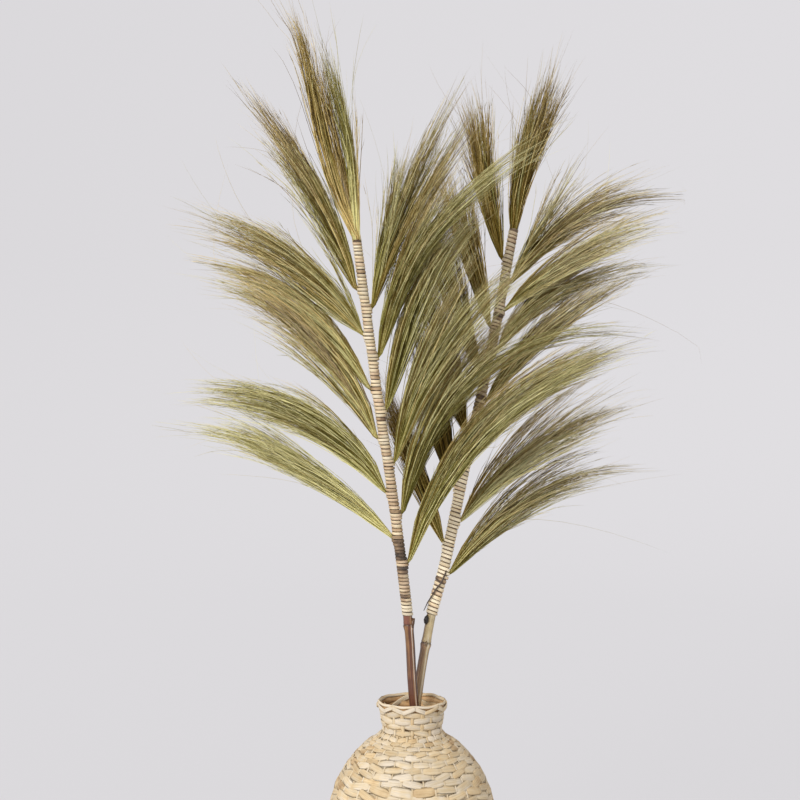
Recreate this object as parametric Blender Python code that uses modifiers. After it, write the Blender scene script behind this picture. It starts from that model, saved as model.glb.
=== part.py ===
"""Dried reed grass in a woven basket vase.

Two cut reed canes stand crossed in the neck of a round basket. A strip of split cane is wound round each
of them and ties on bundles of reed grass, in turn to the left and to the right, with one more at the tip.

Metres, +Z up. The origin is the centre of the vase's flat base, and the front of the object faces -Y.
"""

import math

import bpy
from mathutils import Matrix, Vector

OBJECT_NAME = "dried_reed_grass_in_vase"
GAP = 0.0003  # between pieces that touch

# Vase: the outside as (radius, height), from the rim down to the edge of the base
VASE_HEIGHT = 0.300
VASE_OUTSIDE = (
    (0.0415, 0.300),
    (0.0425, 0.294),
    (0.0400, 0.287),
    (0.0385, 0.275),
    (0.0370, 0.266),
    (0.0430, 0.258),
    (0.0590, 0.247),
    (0.0800, 0.223),
    (0.0925, 0.200),
    (0.0995, 0.177),
    (0.1015, 0.155),
    (0.0990, 0.122),
    (0.0915, 0.084),
    (0.0810, 0.045),
    (0.0700, 0.012),
    (0.0670, 0.000),
)
VASE_WALL = 0.0045
VASE_FLOOR = 0.006
VASE_FLOOR_BEND = 0.004  # height and
VASE_FLOOR_INSET = 0.003  # width of the slope between floor and wall
VASE_RIM_EDGE = 0.001
VASE_STEPS = 32
WELD_DISTANCE = 0.00005

# Canes: the middle line as (x, height), from the cut foot on the vase's floor to the tip
LEFT_CANE_LINE = (
    (0.0325, 0.0075),
    (0.0020, 0.300),
    (-0.0045, 0.395),
    (-0.0240, 0.553),
    (-0.0400, 0.659),
    (-0.0650, 0.846),
)
RIGHT_CANE_LINE = (
    (-0.0340, 0.0075),
    (0.0050, 0.292),
    (0.0230, 0.396),
    (0.0398, 0.459),
    (0.0612, 0.561),
    (0.0985, 0.726),
    (0.1260, 0.870),
)
CROSSING_HEIGHT = 0.290  # where one cane passes in front of the other
CROSSING_DEPTH = 0.0078  # of each middle line, to the front or the back
CANE_LEAN = 0.068  # forwards for the left cane and backwards for the right, per metre of height
CANE_FOOT_RADIUS = 0.0064
CANE_TIP_RADIUS = 0.0043
CANE_NODE_SWELL = 1.16
BARE_STEPS = 8  # sections of the cane below its binding
BOUND_STEPS = 15  # sections of the cane inside it, which the binding shares
CANE_NODE_HALF = 0.006
CHORD_HALF = 0.005  # of the chord that gives a cane's direction
LEFT_CANE_NODES = (0.120, 0.391)  # heights of the swollen rings
RIGHT_CANE_NODES = (0.150, 0.364)

# Binding: a sleeve of wound strip round each cane
BINDING_FOOT = 0.399
BINDING_THICKNESS = 0.0011
ROUND_SIDES = 10
BINDING_CLEARANCE = 1.0 / math.cos(math.pi / ROUND_SIDES)  # a faceted sleeve's flats stay off the cane

# Plumes
PLUME_SECTIONS = 10
PLUME_FLATNESS = 0.42  # thickness over width
PLUME_ROOT_RADIUS = 0.0030
PLUME_POINT_RADIUS = 0.0012
PLUME_FULLEST = 0.58  # of its length
PLUME_TAPER = 1.7  # power of the fall from there to the point
PLUME_CLEARANCE = 0.0004  # from the binding, besides GAP
TIP_PLUME_ROOT_RADIUS = 0.0058
TIP_PLUME_RISE = 0.0022  # of its root over the cane's end

# Each plume: height where it is tied, its angle from upright at the root and at the tip, its length and
# width, and how far it swings to the back (degrees, so a negative swing comes forward)
LEFT_OUTER_PLUMES = (
    (0.793, 24, 33, 0.275, 0.036, 3),
    (0.740, 38, 76, 0.265, 0.036, -4),
    (0.677, 28, 82, 0.285, 0.040, 4),
    (0.619, 26, 76, 0.265, 0.032, -4),
    (0.555, 35, 92, 0.285, 0.040, 4),
    (0.501, 46, 78, 0.280, 0.028, -4),
)
LEFT_INNER_PLUMES = (
    (0.770, 10, 30, 0.285, 0.050, -4),
    (0.713, 12, 78, 0.365, 0.036, -11),
    (0.651, 10, 54, 0.300, 0.036, -3),
    (0.589, 13, 57, 0.315, 0.042, -12),
    (0.528, 13, 90, 0.350, 0.038, -4),
    (0.470, 16, 84, 0.400, 0.044, -10),
)
RIGHT_OUTER_PLUMES = (
    (0.808, 28, 74, 0.240, 0.048, 6),
    (0.774, 42, 86, 0.235, 0.030, -3),
    (0.726, 32, 92, 0.240, 0.032, 6),
    (0.664, 36, 76, 0.265, 0.034, -2),
    (0.596, 34, 78, 0.235, 0.034, 7),
    (0.517, 34, 78, 0.280, 0.044, -2),
    (0.454, 33, 87, 0.275, 0.040, 5),
)
RIGHT_INNER_PLUMES = (
    (0.835, 10, 11, 0.225, 0.032, 10),
    (0.752, 17, 18, 0.215, 0.030, 32),
    (0.693, 20, 20, 0.220, 0.030, 8),
    (0.620, 19, 12, 0.215, 0.030, 34),
    (0.556, 15, 11, 0.215, 0.030, 8),
    (0.488, 24, 25, 0.210, 0.032, 34),
)
LEFT_TIP_PLUME = (7, 20, 0.260, 0.040, -2)
RIGHT_TIP_PLUME = (8, 22, 0.210, 0.046, 2)

STRAW = (0.72, 0.57, 0.34)
LEFT_CANE_BROWN = (0.26, 0.14, 0.09)
RIGHT_CANE_BROWN = (0.30, 0.21, 0.11)
SPLIT_CANE = (0.66, 0.50, 0.31)
REED_GREEN = (0.25, 0.24, 0.09)
REED_BROWN = (0.24, 0.18, 0.08)


def clear_scene():
    for obj in list(bpy.data.objects):
        bpy.data.objects.remove(obj, do_unlink=True)


def new_collection(name):
    collection = bpy.data.collections.new(name)
    bpy.context.scene.collection.children.link(collection)
    return collection


def plain_material(name, colour, roughness):
    material = bpy.data.materials.new(name)
    material.use_nodes = True
    shader = material.node_tree.nodes["Principled BSDF"]
    shader.inputs["Base Color"].default_value = (*colour, 1.0)
    shader.inputs["Roughness"].default_value = roughness
    shader.inputs["Metallic"].default_value = 0.0
    return material


def catmull_rom(points, per_span):
    """A smooth line through the points, with per_span steps between each two of them."""
    padded = [Vector(point) for point in (points[0], *points, points[-1])]
    line = []
    for a, b, c, d in zip(padded, padded[1:], padded[2:], padded[3:]):
        for step in range(per_span):
            t = step / per_span
            square = (2 * a - 5 * b + 4 * c - d) * t**2
            cube = (3 * b - a - 3 * c + d) * t**3
            line.append(tuple((2 * b + (c - a) * t + square + cube) / 2))
    line.append(tuple(points[-1]))
    return line


def curve_object(name, points, radii, collection, material, caps=True, sides=8):
    """A round tube along the points with a radius at each of them, as a curve with a bevel."""
    curve = bpy.data.curves.new(name, "CURVE")
    curve.dimensions = "3D"
    curve.resolution_u = 1
    curve.bevel_depth = 1.0
    curve.bevel_resolution = (sides - 4) // 2
    curve.use_fill_caps = caps
    spline = curve.splines.new("POLY")
    spline.points.add(len(points) - 1)
    for point, place, radius in zip(spline.points, points, radii):
        point.co = (*place, 1.0)
        point.radius = radius
    curve.materials.append(material)
    obj = bpy.data.objects.new(name, curve)
    collection.objects.link(obj)
    return obj


# Vase


def vase_profile():
    """The wall's section: the inner floor, up the inside, over the rim, down the outside and the base."""
    outside = catmull_rom(VASE_OUTSIDE, 2)
    inside = []
    for (r0, z0), (r1, z1) in zip(VASE_OUTSIDE, VASE_OUTSIDE[1:]):
        slope = Vector((r1 - r0, z1 - z0)).normalized()
        middle = Vector(((r0 + r1) / 2, (z0 + z1) / 2))
        inner = middle + VASE_WALL * Vector((slope.y, -slope.x))
        if VASE_FLOOR + VASE_FLOOR_BEND < inner.y < VASE_HEIGHT - VASE_RIM_EDGE:
            inside.append((inner.x, inner.y))
    inside.sort(key=lambda point: point[1])
    floor = [(0.0, VASE_FLOOR), (inside[0][0] - VASE_FLOOR_INSET, VASE_FLOOR)]
    rim = [(VASE_OUTSIDE[0][0] - VASE_WALL, VASE_HEIGHT)]
    return [*floor, *inside, *rim, *outside, (0.0, 0.0)]


def make_vase(collection):
    profile = vase_profile()
    mesh = bpy.data.meshes.new("vase")
    vertices = [(radius, 0.0, height) for radius, height in profile]
    edges = [(i, i + 1) for i in range(len(profile) - 1)]
    mesh.from_pydata(vertices, edges, [])
    mesh.materials.append(plain_material("woven straw", STRAW, 0.7))
    vase = bpy.data.objects.new("vase", mesh)
    collection.objects.link(vase)
    screw = vase.modifiers.new("turn", "SCREW")
    screw.steps = VASE_STEPS
    screw.render_steps = VASE_STEPS
    screw.use_merge_vertices = True
    screw.merge_threshold = WELD_DISTANCE
    screw.use_smooth_shade = True
    return vase


# Canes and bindings


class Cane:
    """A cane's middle line, which is a function of height."""

    def __init__(self, name, line, towards_back):
        self.name = name
        self.line = line
        self.towards_back = towards_back
        self.foot = line[0][1]
        self.tip = line[-1][1]

    def at(self, height):
        """The point of the middle line at this height."""
        height = min(max(height, self.foot), self.tip)
        heights = [z for _, z in self.line]
        span = max(i for i in range(len(heights) - 1) if heights[i] <= height)
        p0, p1, p2, p3 = (self.line[min(max(span + k, 0), len(self.line) - 1)] for k in (-1, 0, 1, 2))
        width = p2[1] - p1[1]
        t = (height - p1[1]) / width
        slope_1 = (p2[0] - p0[0]) / (p2[1] - p0[1]) * width
        slope_2 = (p3[0] - p1[0]) / (p3[1] - p1[1]) * width
        x = (
            (2 * t**3 - 3 * t**2 + 1) * p1[0]
            + (t**3 - 2 * t**2 + t) * slope_1
            + (3 * t**2 - 2 * t**3) * p2[0]
            + (t**3 - t**2) * slope_2
        )
        y = self.towards_back * (CROSSING_DEPTH + CANE_LEAN * (height - CROSSING_HEIGHT))
        return Vector((x, y, height))

    def direction(self, height):
        return (self.at(height + CHORD_HALF) - self.at(height - CHORD_HALF)).normalized()

    def radius(self, height):
        """The radius of the cane itself, without the swelling at its nodes."""
        t = (height - self.foot) / (self.tip - self.foot)
        return CANE_FOOT_RADIUS + (CANE_TIP_RADIUS - CANE_FOOT_RADIUS) * t

    def binding_radius(self, height):
        """The inner radius of the sleeve of wound strip."""
        return (self.radius(height) + GAP) * BINDING_CLEARANCE


def even_heights(low, high, steps):
    return [low + (high - low) * i / steps for i in range(steps + 1)]


def make_cane(cane, node_heights, material, collection):
    heights = even_heights(cane.foot, BINDING_FOOT, BARE_STEPS)[1:-1]
    for node in node_heights:
        heights = [z for z in heights if abs(z - node) > 1.5 * CANE_NODE_HALF]
        heights += [node - CANE_NODE_HALF, node, node + CANE_NODE_HALF]
    heights += [cane.foot, *even_heights(BINDING_FOOT, cane.tip, BOUND_STEPS)]
    heights.sort()
    swollen = set(node_heights)
    radii = [cane.radius(z) * (CANE_NODE_SWELL if z in swollen else 1.0) for z in heights]
    points = [cane.at(z) for z in heights]
    return curve_object(cane.name, points, radii, collection, material, sides=ROUND_SIDES)


def make_binding(cane, name, material, collection):
    heights = even_heights(BINDING_FOOT, cane.tip, BOUND_STEPS)
    radii = [cane.binding_radius(z) for z in heights]
    points = [cane.at(z) for z in heights]
    sleeve = curve_object(name, points, radii, collection, material, caps=False, sides=ROUND_SIDES)
    shell = sleeve.modifiers.new("strip thickness", "SOLIDIFY")
    shell.thickness = BINDING_THICKNESS
    shell.offset = 1.0
    return sleeve


# Plumes


def plume_line(root_angle, tip_angle, length):
    """Points of an arc in the XZ plane, which starts at the origin and bends over towards +X."""
    points = [Vector((0.0, 0.0, 0.0))]
    step = length / (PLUME_SECTIONS - 1)
    for i in range(PLUME_SECTIONS - 1):
        angle = math.radians(root_angle + (tip_angle - root_angle) * (i + 0.5) / (PLUME_SECTIONS - 1))
        points.append(points[-1] + step * Vector((math.sin(angle), 0.0, math.cos(angle))))
    return points


def plume_radius(t, root_radius, width):
    """Half the width at t of the length: a narrow root, a full middle and a fine point."""
    if t < PLUME_FULLEST:
        rise = math.sin(math.pi / 2 * t / PLUME_FULLEST)
        return root_radius + (width / 2 - root_radius) * rise
    fall = (t - PLUME_FULLEST) / (1 - PLUME_FULLEST)
    return PLUME_POINT_RADIUS + (width / 2 - PLUME_POINT_RADIUS) * (1 - fall**PLUME_TAPER)


def make_plume(name, place, turn, sizes, root_radius, material, collection):
    """One flat bundle of grass: place is its root, and turn is a rotation of the plane that it bends in."""
    root_angle, tip_angle, length, width = sizes
    points = plume_line(root_angle, tip_angle, length)
    shares = [i / (PLUME_SECTIONS - 1) for i in range(PLUME_SECTIONS)]
    radii = [plume_radius(t, root_radius, width) for t in shares]
    plume = curve_object(name, points, radii, collection, material)
    flatten = Matrix.Diagonal((1.0, PLUME_FLATNESS, 1.0, 1.0))
    plume.matrix_world = Matrix.Translation(place) @ turn @ flatten
    return plume


def lean_of(cane):
    """The rotation that leans a plume forwards or backwards with its cane."""
    return Matrix.Rotation(-cane.towards_back * math.atan(CANE_LEAN), 4, "X")


def make_side_plume(name, cane, side, sizes, material, collection):
    """A plume that leaves the binding to the left (side -1) or to the right (side 1)."""
    height, root_angle, *_, swing = sizes
    along = cane.direction(height)
    outwards = Vector((side * along.z, 0.0, -side * along.x)).normalized()
    surface = cane.binding_radius(height) + BINDING_THICKNESS
    lean_from_cane = math.radians(root_angle) - side * math.atan2(along.x, along.z)
    clear = surface + GAP + PLUME_ROOT_RADIUS * math.cos(lean_from_cane) + PLUME_CLEARANCE
    heading = math.radians(swing) if side > 0 else math.pi - math.radians(swing)
    turn = lean_of(cane) @ Matrix.Rotation(heading, 4, "Z")
    place = cane.at(height) + clear * outwards
    return make_plume(name, place, turn, sizes[1:5], PLUME_ROOT_RADIUS, material, collection)


def make_tip_plume(name, cane, side, sizes, material, collection):
    """The plume that carries on from the top of a cane and its binding."""
    swing = sizes[-1]
    heading = math.radians(swing) if side > 0 else math.pi - math.radians(swing)
    turn = lean_of(cane) @ Matrix.Rotation(heading, 4, "Z")
    top = cane.at(cane.tip) + TIP_PLUME_RISE * cane.direction(cane.tip)
    return make_plume(name, top, turn, sizes[:4], TIP_PLUME_ROOT_RADIUS, material, collection)


def make_plume_row(first_name, cane, side, rows, materials, collection):
    for number, sizes in enumerate(rows, start=1):
        material = materials[number % len(materials)]
        make_side_plume(f"{first_name}_{number}", cane, side, sizes, material, collection)


def main():
    clear_scene()
    parts = new_collection(OBJECT_NAME)
    make_vase(parts)

    left = Cane("left_cane", LEFT_CANE_LINE, towards_back=-1)
    right = Cane("right_cane", RIGHT_CANE_LINE, towards_back=1)
    make_cane(left, LEFT_CANE_NODES, plain_material("red-brown cane", LEFT_CANE_BROWN, 0.45), parts)
    make_cane(right, RIGHT_CANE_NODES, plain_material("olive-brown cane", RIGHT_CANE_BROWN, 0.45), parts)
    make_binding(left, "left_binding", plain_material("left split cane", SPLIT_CANE, 0.55), parts)
    make_binding(right, "right_binding", plain_material("right split cane", SPLIT_CANE, 0.55), parts)

    greens = (plain_material("green reed", REED_GREEN, 0.8), plain_material("brown reed", REED_BROWN, 0.8))
    make_tip_plume("left_tip_plume", left, -1, LEFT_TIP_PLUME, greens[1], parts)
    make_tip_plume("right_tip_plume", right, 1, RIGHT_TIP_PLUME, greens[1], parts)
    make_plume_row("left_outer_plume", left, -1, LEFT_OUTER_PLUMES, greens, parts)
    make_plume_row("left_inner_plume", left, 1, LEFT_INNER_PLUMES, greens, parts)
    make_plume_row("right_outer_plume", right, 1, RIGHT_OUTER_PLUMES, greens, parts)
    make_plume_row("right_inner_plume", right, -1, RIGHT_INNER_PLUMES, greens, parts)


main()
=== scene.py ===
"""Looks of the dried reed grass in a woven basket vase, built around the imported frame.

Metres, +Z up, the front faces -Y. Every bundle of grass, both bindings, both canes and the vase are
replaced by finer pieces that follow the same lines as the frame's own solids.
"""

import math

import bpy
import numpy as np
from mathutils import Matrix, Vector


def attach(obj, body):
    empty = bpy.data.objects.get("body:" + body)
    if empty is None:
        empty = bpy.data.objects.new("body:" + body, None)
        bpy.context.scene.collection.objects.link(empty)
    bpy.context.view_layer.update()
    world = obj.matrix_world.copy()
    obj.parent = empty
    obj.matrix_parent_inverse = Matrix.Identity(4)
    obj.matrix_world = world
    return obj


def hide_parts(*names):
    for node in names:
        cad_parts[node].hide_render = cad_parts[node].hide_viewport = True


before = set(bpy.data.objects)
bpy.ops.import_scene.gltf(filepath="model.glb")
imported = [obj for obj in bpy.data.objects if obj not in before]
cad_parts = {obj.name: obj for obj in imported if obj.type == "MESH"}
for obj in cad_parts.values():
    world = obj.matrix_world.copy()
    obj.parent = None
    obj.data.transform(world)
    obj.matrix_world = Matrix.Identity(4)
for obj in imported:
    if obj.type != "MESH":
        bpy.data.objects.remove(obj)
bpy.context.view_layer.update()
SCENE = bpy.context.scene
BODY = "root"

# Vase, as the frame has it: the outside as (radius, height), from the rim to the edge of the base
VASE_OUTSIDE = (
    (0.0415, 0.300), (0.0425, 0.294), (0.0400, 0.287), (0.0385, 0.275), (0.0370, 0.266), (0.0430, 0.258),
    (0.0590, 0.247), (0.0800, 0.223), (0.0925, 0.200), (0.0995, 0.177), (0.1015, 0.155), (0.0990, 0.122),
    (0.0915, 0.084), (0.0810, 0.045), (0.0700, 0.012), (0.0670, 0.000),
)
LOWEST = 0.0003  # of the weave above the floor
WEAVE_LIFT = 0.0004  # of a row out of the wall's middle surface, where it passes in front of a stake
WEAVE_THICKNESS = 0.0007
STAKE_THICKNESS = 0.0006

# Canes, as the frame has them: the middle line as (x, height), from the foot to the tip
LEFT_CANE_LINE = (
    (0.0325, 0.0075), (0.0020, 0.300), (-0.0045, 0.395), (-0.0240, 0.553), (-0.0400, 0.659), (-0.0650, 0.846),
)
RIGHT_CANE_LINE = (
    (-0.0340, 0.0075), (0.0050, 0.292), (0.0230, 0.396), (0.0398, 0.459), (0.0612, 0.561), (0.0985, 0.726),
    (0.1260, 0.870),
)
CROSSING_HEIGHT = 0.290
CROSSING_DEPTH = 0.0078  # how far in front of the vase's axis and behind it the canes are where they cross
CANE_LEAN = 0.068  # forwards for the left cane and backwards for the right, per metre of height
CANE_FOOT_RADIUS = 0.0064
CANE_TIP_RADIUS = 0.0043
CHORD_HALF = 0.005  # each way along a cane, to find its direction
CANE_SIDES = 24
TURN_STEPS = 18  # points in one turn of the binding's strip
STRIP_THICKNESS = 0.0005

# Distances that give the places where the frame has the roots of its bundles
GAP = 0.0003
BINDING_CLEARANCE = 1.0 / math.cos(math.pi / 10)
BINDING_THICKNESS = 0.0011
PLUME_ROOT_RADIUS = 0.0030
PLUME_CLEARANCE = 0.0004
TIP_PLUME_RISE = 0.0022

# Bundles of grass, which the names place: outer ones are on their cane's own side, and inner ones on the
# other. Each has the height of its tie (None at the cane's end), its swing to the back in degrees, its number
# of stems, its brightness, how uneven its stems end, and the tufts that it parts into. A tuft has its angles
# from upright at even steps from root to tip, its length and its width in millimetres, its share of the stems
# in percent, its turn to the back in degrees, and its colour from pale green (0) through olive (25) and gold
# (50) to purple-brown (100).
BUNDLE_ROWS = {
    "left_tip_plume": (None, -2, 340, 0.98, 0.24,
        ((23, 19, 17, 15, 12, 11, 13, 40), 275, 5, 36, 0, 56),
        ((5, 3, 6, 12, 16, 11, 22), 256, 2, 36, 3, 10),
        ((14, 14, 14, 13, 11, 10), 240, 3, 20, -3, 80),
        ((29, 26, 19, 13, 9, 11, 17, 36, 62), 300, 1, 6, -2, 50),
        ((2, 1, 0, -2, -3), 185, 2, 2, 2, 50)),
    "left_outer_plume_1": (0.793, 3, 320, 1.14, 0.28,
        ((19, 21, 25, 29, 31, 33, 37, 39, 6), 298, 10, 34, 0, 60),
        ((14, 20, 25, 29, 32, 34, 35, 36), 261, 7, 26, 4, 76),
        ((25, 28, 31, 35, 41, 45), 236, 8, 20, -3, 36),
        ((13, 18, 23, 28, 32, 36, 38), 218, 6, 18, 2, 22)),
    "left_outer_plume_2": (0.740, -4, 310, 1.22, 0.32,
        ((40, 46, 51, 59, 68, 74), 254, 27, 52, 0, 34),
        ((40, 44, 49, 55, 63, 69), 232, 26, 26, 4, 28),
        ((44, 49, 55, 64, 74, 80), 235, 10, 14, -4, 46),
        ((20, 25, 30, 33, 34), 183, 4, 5, 0, 30),
        ((40, 46, 53, 62, 71, 76), 290, 2, 3, 3, 50)),
    "left_outer_plume_3": (0.677, 4, 290, 1.28, 0.30,
        ((28, 37, 48, 60, 72, 78), 250, 9, 46, 0, 36),
        ((24, 31, 43, 58, 73, 82, 84), 285, 2, 22, 4, 46),
        ((32, 42, 53, 64, 74, 80), 232, 8, 32, -4, 34)),
    "left_outer_plume_4": (0.619, -4, 300, 1.40, 0.30,
        ((20, 27, 34, 41, 47, 51, 56, 66, 78), 277, 17, 50, 0, 47),
        ((20, 26, 33, 40, 46, 52, 60, 68), 250, 7, 24, -6, 100),
        ((29, 36, 42, 44, 49, 58, 67), 206, 9, 28, -4, 44)),
    "left_outer_plume_5": (0.555, 4, 310, 1.34, 0.32,
        ((31, 44, 51, 57, 66, 75, 84, 88, 90), 290, 23, 46, 0, 10),
        ((27, 39, 46, 52, 60, 69, 79, 86, 90), 265, 18, 28, 4, 22),
        ((34, 47, 55, 62, 70, 78, 84, 86), 250, 9, 22, -4, 6),
        ((31, 44, 52, 60, 70, 79, 87, 92, 93), 325, 2, 4, 2, 30)),
    "left_outer_plume_6": (0.501, -4, 260, 1.64, 0.30,
        ((46, 49, 53, 57, 60, 64, 72, 82, 88), 288, 15, 60, 0, 8),
        ((44, 46, 50, 54, 58, 64, 70), 262, 7, 24, 3, 20),
        ((49, 53, 57, 61, 65, 70), 236, 5, 16, -3, 4)),
    "left_inner_plume_1": (0.770, -4, 320, 0.92, 0.30,
        ((12, 16, 20, 23, 25, 27, 28), 292, 8, 36, 0, 40),
        ((8, 9, 10, 9, 8, 6), 205, 7, 24, 3, 20),
        ((16, 22, 27, 31, 35, 38), 262, 13, 20, -3, 34),
        ((11, 14, 16, 17, 18), 190, 8, 14, 2, 36)),
    "left_inner_plume_2": (0.713, -11, 330, 0.96, 0.30,
        ((15, 20, 26, 36, 47, 53, 57, 62, 76), 378, 4, 22, -2, 12),
        ((14, 19, 25, 33, 42, 50, 54), 262, 15, 38, 2, 20),
        ((12, 16, 20, 25, 29, 33), 272, 13, 40, 5, 38)),
    "left_inner_plume_3": (0.651, -3, 280, 0.90, 0.30,
        ((12, 16, 20, 26, 34, 43, 50), 275, 16, 55, 0, 20),
        ((10, 13, 17, 22, 27, 32), 245, 14, 45, 5, 34)),
    "left_inner_plume_4": (0.589, -12, 340, 0.92, 0.34,
        ((15, 20, 27, 33, 39, 46, 53, 57), 318, 18, 46, 0, 24),
        ((13, 17, 21, 26, 30, 34), 262, 15, 42, 3, 30),
        ((17, 22, 28, 34, 40, 46, 52), 262, 10, 20, -4, 20)),
    "left_inner_plume_5": (0.528, -4, 320, 0.90, 0.34,
        ((14, 17, 27, 43, 58, 68, 79, 92, 97), 405, 6, 28, 0, 16),
        ((12, 19, 25, 32, 40, 48, 54), 305, 18, 46, 4, 42),
        ((16, 22, 30, 40, 50, 58, 62), 285, 12, 26, -4, 22)),
    "left_inner_plume_6": (0.470, -10, 390, 1.06, 0.34,
        ((15, 22, 29, 40, 50, 59, 62, 67, 77), 410, 19, 46, 0, 22),
        ((15, 22, 29, 38, 48, 56, 60), 345, 17, 26, 4, 58),
        ((18, 27, 36, 44, 52, 61, 70, 76), 385, 11, 28, -4, 18)),
    "right_tip_plume": (None, 2, 330, 0.80, 0.28,
        ((5, 9, 13, 17, 19, 18, 14), 218, 13, 42, 0, 46),
        ((9, 15, 19, 23, 27), 206, 11, 34, 4, 58),
        ((2, 6, 9, 12, 13), 186, 9, 28, -4, 40)),
    "right_outer_plume_1": (0.808, 6, 350, 1.12, 0.50,
        ((26, 29, 33, 36, 40), 198, 14, 22, 4, 34),
        ((33, 38, 44, 50, 58, 66, 74), 218, 16, 30, 0, 56),
        ((36, 44, 54, 66, 76, 84), 232, 14, 22, -3, 44),
        ((40, 50, 59, 66, 70, 72), 195, 14, 16, 2, 50),
        ((36, 46, 58, 70, 82, 90), 270, 3, 7, 3, 60),
        ((20, 22, 26, 30), 160, 4, 3, 0, 60)),
    "right_outer_plume_2": (0.774, -3, 260, 1.66, 0.54,
        ((47, 56, 60, 66, 74, 79), 236, 16, 46, 0, 34),
        ((42, 51, 56, 62, 70, 78), 245, 14, 32, 4, 46),
        ((50, 58, 63, 69, 76, 82), 215, 9, 22, -4, 30)),
    "right_outer_plume_3": (0.726, 6, 260, 1.10, 0.50,
        ((33, 43, 53, 61, 67, 73, 80, 88), 250, 14, 56, 0, 24),
        ((27, 35, 44, 51, 58, 66, 74), 220, 12, 44, 4, 42)),
    "right_outer_plume_4": (0.664, -2, 260, 0.98, 0.48,
        ((35, 38, 44, 50, 54, 58, 66, 76), 260, 13, 58, 0, 36),
        ((33, 37, 42, 48, 54, 62, 72), 245, 10, 34, 4, 52),
        ((37, 40, 46, 52, 56, 64, 80, 94), 305, 3, 8, -3, 50)),
    "right_outer_plume_5": (0.596, 7, 220, 0.80, 0.40,
        ((34, 42, 50, 60, 70, 78), 235, 16, 100, 0, 50)),
    "right_outer_plume_6": (0.517, -2, 310, 1.48, 0.50,
        ((38, 43, 50, 56, 61, 66, 73, 80), 278, 14, 42, 0, 44),
        ((31, 37, 43, 49, 55, 62, 70), 300, 14, 28, 4, 64),
        ((42, 47, 54, 60, 66, 72, 78), 250, 10, 28, -4, 22),
        ((25, 23, 21, 19), 100, 1, 2, 0, 95)),
    "right_outer_plume_7": (0.454, 5, 268, 1.14, 0.46,
        ((39, 43, 48, 55, 63, 72, 82, 90), 268, 14, 46, 0, 44),
        ((34, 38, 43, 50, 58, 68, 78), 255, 11, 28, 4, 60),
        ((43, 47, 53, 60, 69, 76, 82), 240, 8, 26, -4, 20)),
    # The bundles between the canes on the right are given low brightness: painted shade from the bundles in
    # front of them.
    "right_inner_plume_1": (0.835, 10, 270, 0.74, 0.34,
        ((11, 12, 9, 7, 8, 9), 216, 13, 40, 0, 54),
        ((9, 8, 4, 2, 3), 206, 12, 28, 3, 46),
        ((13, 15, 14, 13, 14), 212, 11, 32, -3, 62)),
    "right_inner_plume_2": (0.752, 32, 230, 0.86, 0.28,
        ((18, 18, 17, 17, 18), 215, 12, 60, 0, 54),
        ((13, 11, 9, 8), 200, 10, 40, 4, 62)),
    "right_inner_plume_3": (0.693, 8, 240, 0.80, 0.28,
        ((20, 20, 20, 20), 220, 12, 60, 0, 62),
        ((16, 13, 10, 8), 200, 10, 40, 4, 68)),
    "right_inner_plume_4": (0.620, 34, 230, 0.70, 0.28,
        ((19, 16, 14, 12), 215, 20, 100, 0, 62)),
    "right_inner_plume_5": (0.556, 8, 250, 0.60, 0.28,
        ((15, 13, 12, 11), 215, 17, 100, 0, 64)),
    "right_inner_plume_6": (0.488, 34, 260, 0.78, 0.18,
        ((24, 25, 25, 25), 210, 13, 100, 0, 62)),
}
STEM_POINTS = 9
HAIR_POINTS = 4
STRAY_POINTS = 8
SPIKELET_POINTS = 3
HAIRS_PER_STEM = 1.35
SPIKELETS_PER_STEM = 1.7
STRAY_HAIRS = 9  # long ones, in each bundle
STEMS_PER_LOCK = 10
DARK_STEMS = 0.40  # share of the stems that are dark: partly their own colour, partly painted shade of the gaps deep in the bundles
PLAIN_STEMS = 0.70  # share that is dark or of middle brightness: the rest is bright and a little thicker
BRIGHTEST = 1.7
PALEST = (0.50, 0.47, 0.37, 1.0)
REDDEST = (0.26, 0.075, 0.065, 1.0)
# How pale the far ends of the stems are, for each cane and side
PALENESS = {("left", -1): 0.22, ("left", 1): 0.25, ("right", 1): 0.45, ("right", -1): 0.05}
TIP_PALENESS = 0.3  # of that, for the bundles at the canes' ends
ROOT_HALF = 0.0022  # half the width of a bundle's root
TIP_ROOT_HALF = 0.0042
FULLEST = 0.58  # share of a bundle's length where it is widest
DEPTH_SHARE = 0.62  # a bundle's depth over its width
TIE_LENGTH = 0.0065  # of the stems' feet under the binding
TIE_SINK = 0.0050
LIMITS = ((-0.303, 0.348), (-0.114, 0.114), (0.004, 1.139))  # of the stems and hairs, in x, y and z
LIMIT_MARGIN = 0.012
UP = np.array([0.0, 0.0, 1.0])

# Upper ends of random draws
ANY_ANGLE = 6.28
ANY_SPIN = 2.1  # of a three-sided strand
ANY_MARK = 50  # of a strip of the vase


class Bundle:
    """A row of the table, with the bundle's cane and its side (-1 left, 1 right)."""

    def __init__(self, name):
        self.name = name
        self.cane_name, kind = name.split("_")[:2]
        self.side = (-1 if self.cane_name == "left" else 1) * (-1 if kind == "inner" else 1)
        self.height, self.swing, self.stems, self.brightness, self.ragged, *tufts = BUNDLE_ROWS[name]
        self.tufts = [(angles, length / 1000, width / 1000, share / 100, turn, tone / 100)
                      for angles, length, width, share, turn, tone in tufts]
        self.at_tip = self.height is None
        self.paleness = PALENESS[self.cane_name, self.side] * (TIP_PALENESS if self.at_tip else 1.0)


BUNDLES = [Bundle(name) for name in BUNDLE_ROWS]


# Meshes


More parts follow.
